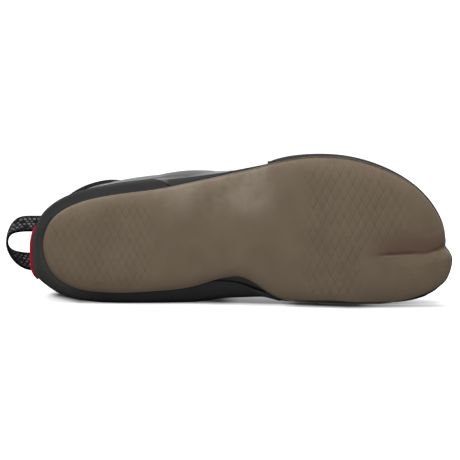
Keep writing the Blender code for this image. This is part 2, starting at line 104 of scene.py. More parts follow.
def weldedCopy(node, name):
    # a CAD node is loose triangles: its copy is welded and paired into quads again
    pick(nodes[node])
    bpy.ops.object.duplicate()
    piece = bpy.context.object
    piece.name = piece.data.name = name
    del piece["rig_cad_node"], piece["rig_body"]
    piece.data.materials.clear()
    bpy.ops.mesh.customdata_custom_splitnormals_clear()
    bpy.ops.object.mode_set(mode="EDIT")
    bpy.ops.mesh.select_all(action="SELECT")
    bpy.ops.mesh.remove_doubles(threshold=0.01 * mm)
    bpy.ops.mesh.tris_convert_to_quads(
        face_threshold=math.radians(35), shape_threshold=math.radians(80)
    )
    bpy.ops.object.mode_set(mode="OBJECT")
    return piece


def modify(piece, kind, **settings):
    pick(piece)
    modifier = piece.modifiers.new(kind.lower(), kind)
    for key, value in settings.items():
        setattr(modifier, key, value)
    bpy.ops.object.modifier_apply(modifier=modifier.name)


def subdivide(piece, levels):
    modify(piece, "SUBSURF", levels=levels, render_levels=levels, boundary_smooth="PRESERVE_CORNERS")


def bevelEdges(piece, width):
    modify(
        piece, "BEVEL", width=width * mm, segments=2, limit_method="ANGLE", angle_limit=math.radians(50),
    )


def faceOutwards(piece):
    pick(piece)
    bpy.ops.object.mode_set(mode="EDIT")
    bpy.ops.mesh.select_all(action="SELECT")
    bpy.ops.mesh.normals_make_consistent(inside=False)
    bpy.ops.object.mode_set(mode="OBJECT")


def smoothShade(piece, angle):
    pick(piece)
    bpy.ops.object.shade_smooth_by_angle(angle=math.radians(angle))


def readVectors(items, name):
    values = np.empty(len(items) * 3, np.float32)
    items.foreach_get(name, values)
    return values.reshape(-1, 3).astype(float)


def readPoints(piece):
    return readVectors(piece.data.vertices, "co")


def readNormals(piece):
    return readVectors(piece.data.vertex_normals, "vector")


def writePoints(piece, points):
    piece.data.vertices.foreach_set("co", points.astype(np.float32).ravel())
    piece.data.update()


def paint(piece, name, values):
    # a number for each vertex, which a material reads
    attribute = piece.data.attributes.new(name, "FLOAT", "POINT")
    attribute.data.foreach_set("value", np.asarray(values, np.float32))


def settle(piece, node, slot, *materials):
    for material in materials:
        piece.data.materials.append(material)
    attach(piece, "root")
    if node:
        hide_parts(node)
    print(f"{piece.name}: {len(piece.data.polygons)} faces")


def meshPiece(name, points, faces):
    mesh = bpy.data.meshes.new(name)
    mesh.from_pydata([tuple(p) for p in points], [], faces)
    piece = bpy.data.objects.new(name, mesh)
    bpy.context.scene.collection.objects.link(piece)
    return piece


def ringFaces(rings, sides, first=0):
    # quads between rings of points that follow each other
    faces = []
    for base in range(first, first + (rings - 1) * sides, sides):
        for i in range(sides):
            j = (i + 1) % sides
            faces.append((base + i, base + j, base + sides + j, base + sides + i))
    return faces


def alongLine(line, step):
    # the same line with points at even steps
    line = np.asarray(line)
    run = np.concatenate([[0], np.cumsum(np.linalg.norm(np.diff(line, axis=0), axis=1))])
    places = np.linspace(0, run[-1], max(2, int(round(run[-1] / step)) + 1))
    return np.stack([np.interp(places, run, line[:, i]) for i in range(3)], axis=-1)


def onSurface(piece, points):
    # nearest places on a piece, and its normals there
    found, normals = [], []
    for point in points:
        hit, place, normal, face = piece.closest_point_on_mesh(Vector(point))
        found.append(place)
        normals.append(normal)
    return np.array(found), np.array(normals)


def sectionLine(piece, planePoint, planeNormal):
    # the outer line in which a plane cuts a shell
    shape = bmesh.new()
    shape.from_mesh(piece.data)
    cutting = bmesh.ops.bisect_plane(
        shape, geom=shape.verts[:] + shape.edges[:] + shape.faces[:], plane_co=planePoint,
        plane_no=planeNormal,
    )
    edges = [item for item in cutting["geom_cut"] if isinstance(item, bmesh.types.BMEdge)]
    links = {}
    for edge in edges:
        first, second = edge.verts
        links.setdefault(first, []).append(second)
        links.setdefault(second, []).append(first)
    lines = []
    while links:
        start = next(iter(links))
        line, point = [start], start
        while point in links:
            others = [other for other in links.pop(point) if other in links]
            if not others:
                break
            point = others[0]
            line.append(point)
        lines.append(np.array([vertex.co[:] for vertex in line]))
    shape.free()
    lines = [np.concatenate([line, line[:1]]) for line in lines if len(line) > 8]
    return max(lines, key=lambda line: np.linalg.norm(np.diff(line, axis=0), axis=1).sum())


def newMaterial(name, roughness, specular):
    material = bpy.data.materials.new(name)
    material.use_nodes = True
    shader = material.node_tree.nodes["Principled BSDF"]
    shader.inputs["Roughness"].default_value = roughness
    shader.inputs["Specular IOR Level"].default_value = specular
    return material, material.node_tree, shader


def feed(tree, socket, value):
    if isinstance(value, bpy.types.NodeSocket):
        tree.links.new(value, socket)
    else:
        socket.default_value = value


def maths(tree, operation, *values):
    node = tree.nodes.new("ShaderNodeMath")
    node.operation = operation
    for socket, value in zip(node.inputs, values):
        feed(tree, socket, value)
    return node.outputs[0]


def mixed(tree, share, first, second):
    node = tree.nodes.new("ShaderNodeMix")
    node.data_type = "RGBA"
    feed(tree, node.inputs[0], share)
    feed(tree, node.inputs[6], first)
    feed(tree, node.inputs[7], second)
    return node.outputs[2]


def ranged(tree, value, fromLow, fromHigh, toLow, toHigh):
    node = tree.nodes.new("ShaderNodeMapRange")
    for socket, setting in zip(node.inputs, (value, fromLow, fromHigh, toLow, toHigh)):
        feed(tree, socket, setting)
    return node.outputs[0]


def noise(tree, vector, scale, detail, roughness):
    node = tree.nodes.new("ShaderNodeTexNoise")
    tree.links.new(vector, node.inputs["Vector"])
    feed(tree, node.inputs["Scale"], scale)
    node.inputs["Detail"].default_value = detail
    node.inputs["Roughness"].default_value = roughness
    return node.outputs[0]


def objectPlace(tree):
    return tree.nodes.new("ShaderNodeTexCoord").outputs["Object"]


def attribute(tree, name):
    node = tree.nodes.new("ShaderNodeAttribute")
    node.attribute_name = name
    return node.outputs["Fac"]


def bump(tree, shader, height, distance, strength=1.0):
    node = tree.nodes.new("ShaderNodeBump")
    node.inputs["Strength"].default_value = strength
    node.inputs["Distance"].default_value = distance
    tree.links.new(height, node.inputs["Height"])
    tree.links.new(node.outputs["Normal"], shader.inputs["Normal"])


def newGroup(name, inputs, outputs):
    group = bpy.data.node_groups.new(name, "ShaderNodeTree")
    for socket, value in inputs.items():
        made = group.interface.new_socket(socket, in_out="INPUT", socket_type="NodeSocketFloat")
        made.default_value = value
    for socket in outputs:
        group.interface.new_socket(socket, in_out="OUTPUT", socket_type="NodeSocketFloat")
    return group, group.nodes.new("NodeGroupInput").outputs, group.nodes.new("NodeGroupOutput").inputs


def placed(tree, group, **settings):
    node = tree.nodes.new("ShaderNodeGroup")
    node.node_tree = group
    for socket in node.inputs:
        if socket.name in settings:
            feed(tree, socket, settings[socket.name])
    return node.outputs


def makeMouldedGrain():
    # rubber: cloudy shade, and a fine grain from the mould
    sizes = {"cloudSize": 60.0, "grainSize": 1800.0}
    group, given, wanted = newGroup("mouldedGrain", sizes, ["shade", "height"])
    here = objectPlace(group)
    cloud = noise(group, here, given["cloudSize"], 4.0, 0.6)
    grain = noise(group, here, given["grainSize"], 2.0, 0.6)
    group.links.new(ranged(group, cloud, 0.3, 0.7, 0.0, 1.0), wanted["shade"])
    group.links.new(grain, wanted["height"])
    return group


def makeDiamondKnurl():
    # small diamonds over the sole's underside, which lies in the frame's X and Z
    group, given, wanted = newGroup("diamondKnurl", {"halfWidth": 0.8, "halfHeight": 1.1}, ["height"])
    split = group.nodes.new("ShaderNodeSeparateXYZ")
    group.links.new(objectPlace(group), split.inputs[0])
    wide, high = [maths(group, "MULTIPLY", split.outputs[axis], 1 / mm) for axis in ("X", "Z")]
    across = maths(group, "DIVIDE", wide, given["halfWidth"])
    upward = maths(group, "DIVIDE", high, given["halfHeight"])
    waves = []
    for operation in ("ADD", "SUBTRACT"):
        slanted = maths(group, "MULTIPLY", maths(group, operation, across, upward), math.pi / 2)
        waves.append(maths(group, "ABSOLUTE", maths(group, "SINE", slanted)))
    group.links.new(maths(group, "MULTIPLY", *waves), wanted["height"])
    return group


def makeJerseyKnit():
    # knitted face of neoprene: loops in three directions, so that it suits every side
    group, given, wanted = newGroup("jerseyKnit", {"pitch": 0.8}, ["height", "shade"])
    scaled = group.nodes.new("ShaderNodeVectorMath")
    scaled.operation = "SCALE"
    group.links.new(objectPlace(group), scaled.inputs[0])
    turnsPerMetre = maths(group, "DIVIDE", 2 * math.pi / mm, given["pitch"])
    group.links.new(turnsPerMetre, scaled.inputs["Scale"])
    split = group.nodes.new("ShaderNodeSeparateXYZ")
    group.links.new(scaled.outputs[0], split.inputs[0])
    loops = [maths(group, "SINE", split.outputs[axis]) for axis in ("X", "Y", "Z")]
    total = maths(group, "ADD", maths(group, "ADD", loops[0], loops[1]), loops[2])
    fuzz = noise(group, objectPlace(group), 2600.0, 2.0, 0.6)
    loopHeight = ranged(group, total, -3.0, 3.0, 0.0, 1.0)
    group.links.new(maths(group, "ADD", loopHeight, fuzz), wanted["height"])
    group.links.new(noise(group, objectPlace(group), 38.0, 5.0, 0.65), wanted["shade"])
    return group


mouldedGrain = makeMouldedGrain()
diamondKnurl = makeDiamondKnurl()
jerseyKnit = makeJerseyKnit()

soleFinish = {
    "brown": (0.120, 0.088, 0.055, 1),
    "pale": (0.138, 0.103, 0.067, 1),
    # colour of the painted highlight on the outer waist
    "paintedHighlight": (0.24, 0.20, 0.15, 1),
    # colour of the painted shade in grooves and hollows
    "grooveShade": (0.050, 0.037, 0.024, 1),
    # colour of the painted shade along the split
    "paintedSplitShade": (0.095, 0.055, 0.035, 1),
    # colour of the painted shadow by the floor
    "paintedFloorShadow": (0.012, 0.010, 0.007, 1),
    "roughness": 0.5,
    "specular": 0.3,
    "cloudSize": 45.0,
    "grainSize": 2200.0,
    "grainShare": 0.35,
    "paintedHighlightNoise": (42.0, 5.0, 0.62),
    "paintedHighlightRange": (0.36, 0.68, 0.0, 0.8),
    # noise that breaks up the painted groove shade
    "shadeBreakNoise": (210.0, 3.0, 0.6),
    "shadeBreakRange": (0.40, 0.64, 0.05, 0.75),
    # noise for the painted shade in the knurl's hollows
    "hollowShadeNoise": (55.0, 2.0, 0.5),
    "hollowShadeRange": (0.42, 0.62, 0.0, 0.24),
    "knurl": (0.62, 0.8),
    "bump": 0.12,
    "bumpStrength": 0.8,
}
randFinish = {
    "dark": (0.024, 0.0247, 0.0247, 1), "pale": (0.031, 0.0316, 0.0313, 1),
    # pale colour of a painted highlight at the seam, also used for a paler heel
    "highlightPale": (0.09, 0.088, 0.084, 1),
    "roughness": 0.7, "specular": 0.03, "cloudSize": 55.0, "bump": 0.05,
}
patchFinish = {
    "dark": (0.36, 0.002, 0.018, 1), "pale": (0.44, 0.003, 0.024, 1),
    "roughness": 0.5, "specular": 0.1, "cloudSize": 80.0, "bump": 0.03,
}
threadFinish = {
    "dark": (0.012, 0.012, 0.0125, 1), "pale": (0.02, 0.02, 0.021, 1),
    "roughness": 0.7, "specular": 0.1, "cloudSize": 300.0, "bump": 0.05,
}
rubberGrain = {"size": 2400.0, "smoother": 0.06, "rougher": 0.08}
neopreneFinish = {
    "dark": (0.008, 0.0083, 0.009, 1), "pale": (0.013, 0.0133, 0.0142, 1),
    "roughness": 0.32, "specular": 0.5, "pitch": 0.9, "bump": 0.004, "sheen": 0.0,
}
hemFinish = {
    "dark": (0.005, 0.0051, 0.0054, 1), "pale": (0.008, 0.0081, 0.0085, 1),
    "roughness": 0.9, "specular": 0.02, "pitch": 0.7, "bump": 0.06, "sheen": 0.0,
}
liningFinish = {
    "dark": (0.045, 0.046, 0.049, 1), "pale": (0.07, 0.072, 0.076, 1),
    "roughness": 0.85, "specular": 0.2, "pitch": 1.4, "bump": 0.12, "sheen": 0.5,
}
footbedFinish = {
    "dark": (0.030, 0.031, 0.033, 1), "pale": (0.05, 0.051, 0.054, 1),
    "roughness": 0.9, "specular": 0.2, "pitch": 1.2, "bump": 0.1, "sheen": 0.3,
}
sheenRoughness = 0.45
webbingFinish = {
    "black": (0.0045, 0.0045, 0.005, 1),
    "grey": (0.10, 0.10, 0.103, 1),
    "roughness": 0.9,
    "specular": 0.05,
    "flecksAlong": 23.0,
    "flecksAcross": 6.0,
    "rowShift": 0.37,
    "fleckEdge": (0.38, 0.62),
    "fleckChance": (0.1, 0.8),
    "selvedge": 0.1,
    "ribsPerFleck": 4,
    "ribShare": 0.25,
    "bump": 0.35,
}


def makeSoleRubber():
    material, tree, shader = newMaterial("soleRubber", soleFinish["roughness"], soleFinish["specular"])
    sizes = {size: soleFinish[size] for size in ("cloudSize", "grainSize")}
    grain = placed(tree, mouldedGrain, **sizes)
    colour = mixed(tree, grain["shade"], soleFinish["brown"], soleFinish["pale"])
    here = objectPlace(tree)
    # painted highlight: pale noisy patches on the outer waist, the side that faces the light
    paintedHighlight = ranged(tree, noise(tree, here, *soleFinish["paintedHighlightNoise"]), *soleFinish["paintedHighlightRange"])
    paintedHighlight = maths(tree, "MULTIPLY", paintedHighlight, attribute(tree, "paintedHighlight"))
    colour = mixed(tree, paintedHighlight, colour, soleFinish["paintedHighlight"])
    # painted shade along the toe split, darker and redder
    colour = mixed(tree, attribute(tree, "paintedSplitShade"), colour, soleFinish["paintedSplitShade"])
    # painted shade in the grooves: the crease line and the tread pads' feet, broken up by noise
    shadeBreaks = ranged(tree, noise(tree, here, *soleFinish["shadeBreakNoise"]), *soleFinish["shadeBreakRange"])
    brokenGrooveShade = maths(tree, "MULTIPLY", attribute(tree, "grooveShade"), shadeBreaks)
    colour = mixed(tree, brokenGrooveShade, colour, soleFinish["grooveShade"])
    halfWidth, halfHeight = soleFinish["knurl"]
    knurl = placed(tree, diamondKnurl, halfWidth=halfWidth, halfHeight=halfHeight)
    knurled = maths(tree, "MULTIPLY", knurl["height"], attribute(tree, "knurl"))
    # painted shade in the knurl's hollows, in patches
    patches = ranged(tree, noise(tree, here, *soleFinish["hollowShadeNoise"]), *soleFinish["hollowShadeRange"])
    hollows = maths(tree, "SUBTRACT", attribute(tree, "knurl"), knurled)
    hollowShade = maths(tree, "MULTIPLY", hollows, patches)
    colour = mixed(tree, hollowShade, colour, soleFinish["grooveShade"])
    # painted shadow where the sole's edge nears the floor
    colour = mixed(tree, attribute(tree, "paintedFloorShadow"), colour, soleFinish["paintedFloorShadow"])
    tree.links.new(colour, shader.inputs["Base Color"])
    fine = maths(tree, "MULTIPLY", grain["height"], soleFinish["grainShare"])
    height = maths(tree, "ADD", knurled, fine)
    bump(tree, shader, height, soleFinish["bump"] * mm, soleFinish["bumpStrength"])
    return material


def makeRubber(name, finish):
    # plain rubber, which pieces may paint paler (a painted highlight at a seam, or a paler patch) and
    # darker (painted shade on what faces up towards the light)
    material, tree, shader = newMaterial(name, finish["roughness"], finish["specular"])
    grain = placed(tree, mouldedGrain, cloudSize=finish["cloudSize"], grainSize=rubberGrain["size"])
    colour = mixed(tree, grain["shade"], finish["dark"], finish["pale"])
    # painted highlight at the side band's seam, and paler low on the heel
    colour = mixed(tree, attribute(tree, "seamHighlightAndPale"), colour, randFinish["highlightPale"])
    # painted shade where a band faces up towards the light
    colour = mixed(tree, attribute(tree, "paintedTopShade"), colour, (0, 0, 0, 1))
    tree.links.new(colour, shader.inputs["Base Color"])
    low = finish["roughness"] - rubberGrain["smoother"]
    high = finish["roughness"] + rubberGrain["rougher"]
    tree.links.new(ranged(tree, grain["shade"], 0.0, 1.0, low, high), shader.inputs["Roughness"])
    bump(tree, shader, grain["height"], finish["bump"] * mm)
    return material


def makeKnitted(name, finish):
    material, tree, shader = newMaterial(name, finish["roughness"], finish["specular"])
    knit = placed(tree, jerseyKnit, pitch=finish["pitch"])
    tree.links.new(
        mixed(tree, knit["shade"], finish["dark"], finish["pale"]), shader.inputs["Base Color"]
    )
    shader.inputs["Sheen Weight"].default_value = finish["sheen"]
    shader.inputs["Sheen Roughness"].default_value = sheenRoughness
    bump(tree, shader, knit["height"], finish["bump"] * mm)
    return material


def makeWebbing():
    # flat weave in two tones: floats of grey yarn in staggered rows, and black selvedges
    weave = webbingFinish
    material, tree, shader = newMaterial("loopWebbing", weave["roughness"], weave["specular"])
    split = tree.nodes.new("ShaderNodeSeparateXYZ")
    uvMap = tree.nodes.new("ShaderNodeUVMap")
    uvMap.uv_map = "UVMap"
    tree.links.new(uvMap.outputs[0], split.inputs[0])
    along, across = split.outputs["X"], split.outputs["Y"]
    row = maths(tree, "MULTIPLY", across, weave["flecksAcross"])
    shift = maths(tree, "MULTIPLY", maths(tree, "FLOOR", row), weave["rowShift"])
    place = maths(tree, "ADD", maths(tree, "MULTIPLY", along, weave["flecksAlong"]), shift)
    cell = maths(tree, "FRACT", place)
    each = tree.nodes.new("ShaderNodeCombineXYZ")
    tree.links.new(maths(tree, "FLOOR", place), each.inputs["X"])
    tree.links.new(maths(tree, "FLOOR", row), each.inputs["Y"])
    chance = tree.nodes.new("ShaderNodeTexWhiteNoise")
    chance.noise_dimensions = "2D"
    tree.links.new(each.outputs[0], chance.inputs["Vector"])
    inRow = maths(tree, "FRACT", row)
    bellAlong = maths(tree, "SINE", maths(tree, "MULTIPLY", cell, math.pi))
    bellAcross = maths(tree, "SINE", maths(tree, "MULTIPLY", inRow, math.pi))
    yarn = maths(tree, "MULTIPLY", bellAlong, bellAcross)
    fleck = ranged(tree, yarn, *weave["fleckEdge"], 0.0, 1.0)
    shown = ranged(tree, chance.outputs["Value"], *weave["fleckChance"], 0.0, 1.0)
    fleck = maths(tree, "MULTIPLY", fleck, shown)
    fromMiddle = maths(tree, "ABSOLUTE", maths(tree, "SUBTRACT", across, 0.5))
    fromEdge = maths(tree, "SUBTRACT", 0.5, fromMiddle)
    inside = maths(tree, "GREATER_THAN", fromEdge, weave["selvedge"])
    fleck = maths(tree, "MULTIPLY", fleck, inside)
    tree.links.new(mixed(tree, fleck, weave["black"], weave["grey"]), shader.inputs["Base Color"])
    ribCount = weave["flecksAlong"] * weave["ribsPerFleck"]
    ribs = maths(tree, "SINE", maths(tree, "MULTIPLY", along, ribCount * math.pi))
    height = maths(tree, "ADD", yarn, maths(tree, "MULTIPLY", ribs, weave["ribShare"]))
    bump(tree, shader, height, weave["bump"] * mm)
    return material


soleRubber = makeSoleRubber()
randRubber = makeRubber("randRubber", randFinish)
patchRubber = makeRubber("patchRubber", patchFinish)
neoprene = makeKnitted("smoothNeoprene", neopreneFinish)
hemTape = makeKnitted("hemTape", hemFinish)
lining = makeKnitted("liningPlush", liningFinish)
footbedCloth = makeKnitted("footbedCloth", footbedFinish)
webbing = makeWebbing()
thread = makeRubber("seamThread", threadFinish)
print("finishes made")

soleSettings = {
    "levels": 3,
    "splitLine": ((228.0, -6.2), (240.0, -5.4), (260.0, -3.2), (268.0, -0.9), (273.0, 0.9)),
    "splitDrop": {"by": 1.5, "start": (232.0, 264.0), "width": 9.0},
    "trough": {
        "depth": 0.5, "outer": 7.0, "inner": 4.6, "deepens": (222.0, 254.0),
        "middle": 3.0, "side": (8.0, 11.5), "start": (218.0, 228.0), "fade": (269.0, 273.5),
        "facing": (-0.2, 0.1),
    },
    "fit": {
        "along": 245.0, "across": -2.0, "half": 25.0, "degree": 5, "flat": 0.75, "clear": (-5.5, 13.0),
    },
    "crease": {
        "depth": 0.55, "width": 1.2, "start": (222.0, 236.0), "end": (264.0, 273.0),
        "dip": 0.6, "dipStart": (246.0, 254.0), "dipEnd": (258.0, 264.0),
    },
    # painted shade along the crease line
    "grooveShade": {
        "width": 1.3, "dark": 0.7, "darker": 0.7, "darkens": (250.0, 264.0),
        "tip": (260.0, 266.0), "tipFacing": (0.1, 0.3),
    },
    # spread of the painted shade along the split
    "splitShadeSpread": {"outer": (2.0, 19.0), "inner": 1.6, "start": (214.0, 236.0)},
    "waist": {"by": 1.0, "start": (128.0, 143.0), "end": (148.0, 160.0), "outer": (34.0, 48.0)},
    "notch": {"depth": 1.2, "width": 2.0, "start": (263.0, 270.0)},
    "underFacing": (0.4, 0.9),
    "crown": {"by": 1.1, "half": 45.0, "most": 1.2},
    "crownLine": ((0.0, 0.0), (60.0, 2.0), (120.0, 10.0), (150.0, 13.0), (190.0, 10.0), (277.0, 2.0)),
    # where the painted highlight lies on the outer waist
    "paintedHighlight": {"start": (66.0, 100.0), "end": (140.0, 178.0), "outer": (12.0, 32.0)},
}
# where the painted shadow lies along the sole's edge by the floor
paintedFloorShadow = {
    "facing": (0.5, 0.8), "start": (132.0, 146.0),
    "archFacing": (0.4, 0.7), "archStart": (126.0, 136.0), "archEnd": (160.0, 180.0), "archAcross": -8.0,
    "ballStart": (158.0, 168.0), "ballEnd": (194.0, 214.0), "ballLift": 1.2, "height": (0.7, 2.0),
}
treadZones = [
    {
        "name": "heelTread", "start": (6.0, 12.0), "end": (70.0, 86.0), "toeEnd": None,
        "half": (2.55, 4.9),
    },
    {
        "name": "ballTread", "start": (172.0, 184.0), "end": (236.0, 254.0), "toeEnd": (206.0, 228.0),
        "half": (2.9, 5.5),
    },
]
treadSplit = {
    "toeSide": (-6.0, 2.0), "ridge": 3.0, "ridgeWidth": 7.0, "ridgeStart": (222.0, 234.0),
    "bareFrom": 216.0, "bare": (-7.0, 10.0),
}
treadPad = {
    "height": 0.13, "lift": 0.02, "profile": ((0.02, 0.02, 1.0), (0.22, 0.75, 0.2), (0.6, 1.0, 0.0)),
    "rows": 14, "middleRow": 8.0, "leastShare": 0.04, "steepest": 0.75, "facing": (0.78, 0.95),
}


def splitDrop(along):
    drop = soleSettings["splitDrop"]
    return drop["by"] * ease(along, *drop["start"])


def splitOffset(along, across):
    # distance from the line between the big toe and the others, up towards the outer side
    places, offsets = zip(*soleSettings["splitLine"])
    return across - np.interp(along, places, offsets) + splitDrop(along)


def trimShape(points):
    # small shifts from the CAD towards the photo: the split's end lower, the outer waist slimmer
    along, across, rise = inBoot(points)
    near = (splitOffset(along, across) - splitDrop(along)) / soleSettings["splitDrop"]["width"]
    waist = soleSettings["waist"]
    slim = waist["by"] * ease(along, *waist["start"]) * (1 - ease(along, *waist["end"]))
    slim = slim * ease(across, *waist["outer"])
    points[:, 2] -= (splitDrop(along) * np.exp(-(near**2)) + slim) * mm


def ironSplit(piece):
    # the coarse mesh is stepped along the split, so the depth there follows a smooth surface that is
    # fitted to the underside on both sides of it, with a trough along the line
    points = readPoints(piece)
    along, across, rise = inBoot(points)
    under = -readNormals(piece)[:, 1]
    offset = splitOffset(along, across)
    trough, fit = soleSettings["trough"], soleSettings["fit"]
    s, t = (along - fit["along"]) / fit["half"], (across - fit["across"]) / fit["half"]
    powers = range(fit["degree"] + 1)
    terms = np.stack([s**i * t**j for i in powers for j in powers if i + j <= fit["degree"]], axis=-1)
    below, above = fit["clear"]
    clear = (under > fit["flat"]) & (np.abs(s) < 1) & (np.abs(t) < 1)
    clear &= (offset < below) | (offset > above)
    fitted = terms @ np.linalg.lstsq(terms[clear], rise[clear], rcond=None)[0]
    spread = np.exp(-((offset / np.where(offset > 0, trough["outer"], trough["inner"])) ** 2))
    fitted += trough["depth"] * spread * ease(along, *trough["deepens"])
    share = (1 - ease(np.abs(offset - trough["middle"]), *trough["side"])) * ease(along, *trough["start"])
    share = share * (1 - ease(along, *trough["fade"])) * ease(under, *trough["facing"])
    points[:, 1] += share * (fitted - rise) * mm
    writePoints(piece, points)


def paintedSplitShade(along, across):
    # painted shade along the split: the rubber is painted darker and redder there, most of all on the
    # side of the outer toes, which slopes away from the light
    splitShadeSpread, offset = soleSettings["splitShadeSpread"], splitOffset(along, across)
    outer = 1 - ease(offset, *splitShadeSpread["outer"])
    inner = np.exp(-((offset / splitShadeSpread["inner"]) ** 2))
    return np.where(offset > 0, outer, inner) * ease(along, *splitShadeSpread["start"])


def pressNotch(points):
    # the split runs out over the toe's end as a small notch
    notch = soleSettings["notch"]
    along, across, rise = inBoot(points)
    pinch = np.exp(-((splitOffset(along, across) / notch["width"]) ** 2))
    points[:, 0] -= notch["depth"] * mm * pinch * ease(along, *notch["start"])


def treadShare(zone, along, across):
    # 1 in the middle of a tread zone, easing to 0 at its ends
    inside = ease(along, *zone["start"]) * (1 - ease(along, *zone["end"]))
    if zone["toeEnd"]:
        offset = splitOffset(along, across)
        bigToe = 1 - ease(offset, *treadSplit["toeSide"])
        inside = inside * (1 - bigToe * ease(along, *zone["toeEnd"]))
        ridge = np.exp(-(((offset - treadSplit["ridge"]) / treadSplit["ridgeWidth"]) ** 2))
        inside = inside * (1 - ridge * ease(along, *treadSplit["ridgeStart"]))
    return inside


def paintedHighlightShare(along, across):
    # a painted highlight: pale patches on the outer waist, the side that faces the light
    paintedHighlight = soleSettings["paintedHighlight"]
    return ease(along, *paintedHighlight["start"]) * (1 - ease(along, *paintedHighlight["end"])) * ease(across, *paintedHighlight["outer"])


def floorShadowShare(points, normals):
    # painted shadow: the sole's edge is painted dark where it nears the floor, and where it looks down on
    # it at the arch
    along, across, rise = inBoot(points)
    downward = ease(-normals[:, 2], *paintedFloorShadow["facing"]) * ease(along, *paintedFloorShadow["start"])
    downward = downward * (across < 0)
    sideways = ease(np.hypot(normals[:, 0], normals[:, 2]), *paintedFloorShadow["archFacing"])
    arch = ease(along, *paintedFloorShadow["archStart"]) * (1 - ease(along, *paintedFloorShadow["archEnd"]))
    downward = np.maximum(downward, sideways * arch * (across < paintedFloorShadow["archAcross"]))
    ball = ease(along, *paintedFloorShadow["ballStart"]) * (1 - ease(along, *paintedFloorShadow["ballEnd"]))
    low = 1 - ease(points[:, 2] / mm - paintedFloorShadow["ballLift"] * ball, *paintedFloorShadow["height"])
    return np.maximum(low, downward)


def makeSole():
    piece = weldedCopy("outsole", "soleRubberPlate")
    subdivide(piece, soleSettings["levels"])
    points = readPoints(piece)
    trimShape(points)
    writePoints(piece, points)
    ironSplit(piece)
    points = readPoints(piece)
    along, across, rise = inBoot(points)
    normals = readNormals(piece)
    under = ease(-normals[:, 1], *soleSettings["underFacing"])
    crown = soleSettings["crown"]
    bow = ((across - np.interp(along, *zip(*soleSettings["crownLine"]))) / crown["half"]) ** 2
    points[:, 1] += crown["by"] * mm * under * np.minimum(bow, crown["most"])
    offset = splitOffset(along, across)
    crease = soleSettings["crease"]
    dip = crease["dip"] * ease(along, *crease["dipStart"]) * (1 - ease(along, *crease["dipEnd"]))
    reach = ease(along, *crease["start"]) * (1 - dip)
    sunk = np.exp(-((offset / crease["width"]) ** 2)) * reach * under
    points[:, 1] += crease["depth"] * mm * sunk * (1 - ease(along, *crease["end"]))
    pressNotch(points)
    writePoints(piece, points)
    # painted shade along the split
    paint(piece, "paintedSplitShade", paintedSplitShade(along, across) * under)
    # painted shade along the crease line
    grooveShade = soleSettings["grooveShade"]
    line = np.exp(-((offset / grooveShade["width"]) ** 2))
    line = line * (grooveShade["dark"] + grooveShade["darker"] * ease(along, *grooveShade["darkens"]))
    seen = ease(along, *grooveShade["tip"]) * ease(-normals[:, 1], *grooveShade["tipFacing"])
    paint(piece, "grooveShade", line * reach * np.maximum(under, seen))
    # painted shadow along the sole's edge by the floor
    paint(piece, "paintedFloorShadow", floorShadowShare(points, normals))
    # painted highlight on the outer waist
    paint(piece, "paintedHighlight", paintedHighlightShare(along, across) * under)
    paint(piece, "knurl", under)
    smoothShade(piece, 60)
    return piece


def padRings(halfWidth, halfHeight):
    # a low diamond, as rings of (x, z, height, painted groove shade): its foot in the groove, slope and
    # top
    turn = np.array(
        [[1, 0], [0.5, 0.5], [0, 1], [-0.5, 0.5], [-1, 0], [-0.5, -0.5], [0, -1], [0.5, -0.5]]
    )
    slant = math.hypot(halfWidth, halfHeight)
    rings = []
    for inset, height, grooveShade in treadPad["profile"]:
        pull = 1 - inset * slant / (halfWidth * halfHeight)
        rings.append([(x * halfWidth * pull, z * halfHeight * pull, height, grooveShade) for x, z in turn])
    return np.array(rings)


def makeTread(sole, zone):
    halfWidth, halfHeight = zone["half"]
    rings = padRings(halfWidth, halfHeight)
    template = np.concatenate([rings.reshape(-1, 4), [[0, 0, 1.0, 0.0]]])
    count, sides = rings.shape[:2]
    last, tip = (count - 1) * sides, count * sides
    faces = ringFaces(count, sides)
    faces += [(last + i, last + (i + 1) % sides, tip) for i in range(sides)]
    startAlong, endAlong = zone["start"][0], zone["end"][1]
    allPoints, allFaces, grooveShades = [], [], []
    for column in range(int((endAlong - startAlong) / halfWidth) + 2):
        for row in range(-treadPad["rows"], treadPad["rows"] + 1):
            if (column + row) % 2:
                continue
            middleAlong = startAlong + column * halfWidth
            middleAcross = treadPad["middleRow"] + row * halfHeight
            share = float(treadShare(zone, middleAlong, middleAcross))
            inner, outer = treadSplit["bare"]
            inSplit = inner < splitOffset(middleAlong, middleAcross) < outer
            if share < treadPad["leastShare"] or (inSplit and middleAlong > treadSplit["bareFrom"]):
                continue
            pad, dark = [], []
            for x, z, height, grooveShade in template:
                start = inFrame(middleAlong + x, middleAcross + z, -30.0)  # from well below the sole
                hit, place, normal, face = sole.ray_cast(Vector(start), Vector((0, 1, 0)))
                if not hit or -normal.y < treadPad["steepest"]:
                    break
                flat = share * float(ease(-normal.y, *treadPad["facing"]))
                proud = treadPad["lift"] + height * treadPad["height"] * flat
                pad.append((place.x, place.y - proud * mm, place.z))
                dark.append(grooveShade * flat)
            if len(pad) == len(template):
                allFaces += [tuple(i + len(allPoints) for i in face) for face in faces]
                allPoints += pad
                grooveShades += dark
    piece = meshPiece(zone["name"], allPoints, allFaces)
    faceOutwards(piece)
    along, across, rise = inBoot(readPoints(piece))
    # the pads take the same painted shade along the split
    paint(piece, "paintedSplitShade", paintedSplitShade(along, across))
    # painted highlight on the pads of the outer waist
    paint(piece, "paintedHighlight", paintedHighlightShare(along, across))
    paint(piece, "knurl", np.ones(len(allPoints)))
    # painted shade at the pads' feet
    paint(piece, "grooveShade", grooveShades)
    smoothShade(piece, 30)
    settle(piece, None, "gum_rubber", soleRubber)


